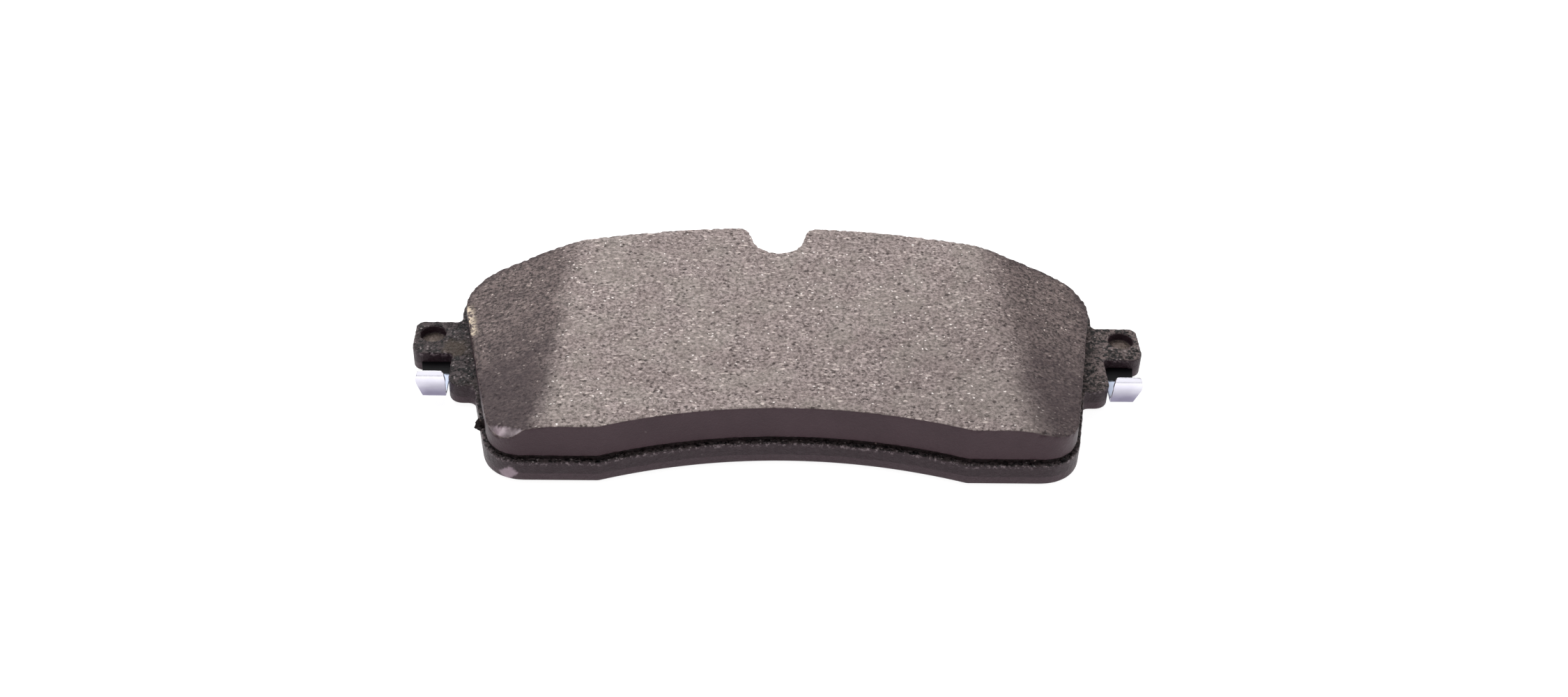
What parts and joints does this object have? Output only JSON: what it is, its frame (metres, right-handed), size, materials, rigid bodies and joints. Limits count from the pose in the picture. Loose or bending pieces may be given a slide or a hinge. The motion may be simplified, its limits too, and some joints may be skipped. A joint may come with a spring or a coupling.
{
  "type": "disc brake pad",
  "caption": "Disc brake pad: steel backing plate with stepped ears, chamfered friction block on an underlayer, bonded noise shim and a sprung clip under each ear.",
  "frame": {"origin": "under the middle of the pad's bounding box, on the outer face of the shim", "axes": "+X along the pad to the right ear, +Y away from the disc's axle towards the notched edge, +Z from the shim to the friction face"},
  "size_m": [0.19, 0.0856, 0.0176],
  "materials": {
    "plate_coat": "granular black powder coat",
    "underlayer_mix": "dark moulded bonding mix",
    "friction_mix": "ground face with light flecks",
    "shim_glue": "cured pressure-sensitive adhesive",
    "shim_steel": "rolled steel",
    "shim_rubber": "matt nitrile coating",
    "clip_steel": "bright spring steel strip"
  },
  "bodies": {
    "pad": {"backing_plate": "plate_coat", "underlayer": "underlayer_mix", "friction_block": "friction_mix", "shim_adhesive": "shim_glue", "shim_steel_core": "shim_steel", "shim_rubber_facing": "shim_rubber", "left_clip_base": "clip_steel", "right_clip_base": "clip_steel"},
    "left_leaf": {"left_clip_leaf": "clip_steel"},
    "right_leaf": {"right_clip_leaf": "clip_steel"}
  },
  "joints": [
    {"name": "left_clip_flex", "type": "hinge", "parent": "pad", "child": "left_leaf", "pos_m": [-0.0882, -0.01128, 0.0013], "axis": [-1, 0, 0], "range_deg": [0, 12], "stiffness_Nm_per_rad": 2.7},
    {"name": "right_clip_flex", "type": "hinge", "parent": "pad", "child": "right_leaf", "pos_m": [0.0882, -0.01128, 0.0013], "axis": [-1, 0, 0], "range_deg": [0, 12], "stiffness_Nm_per_rad": 2.7}
  ]
}
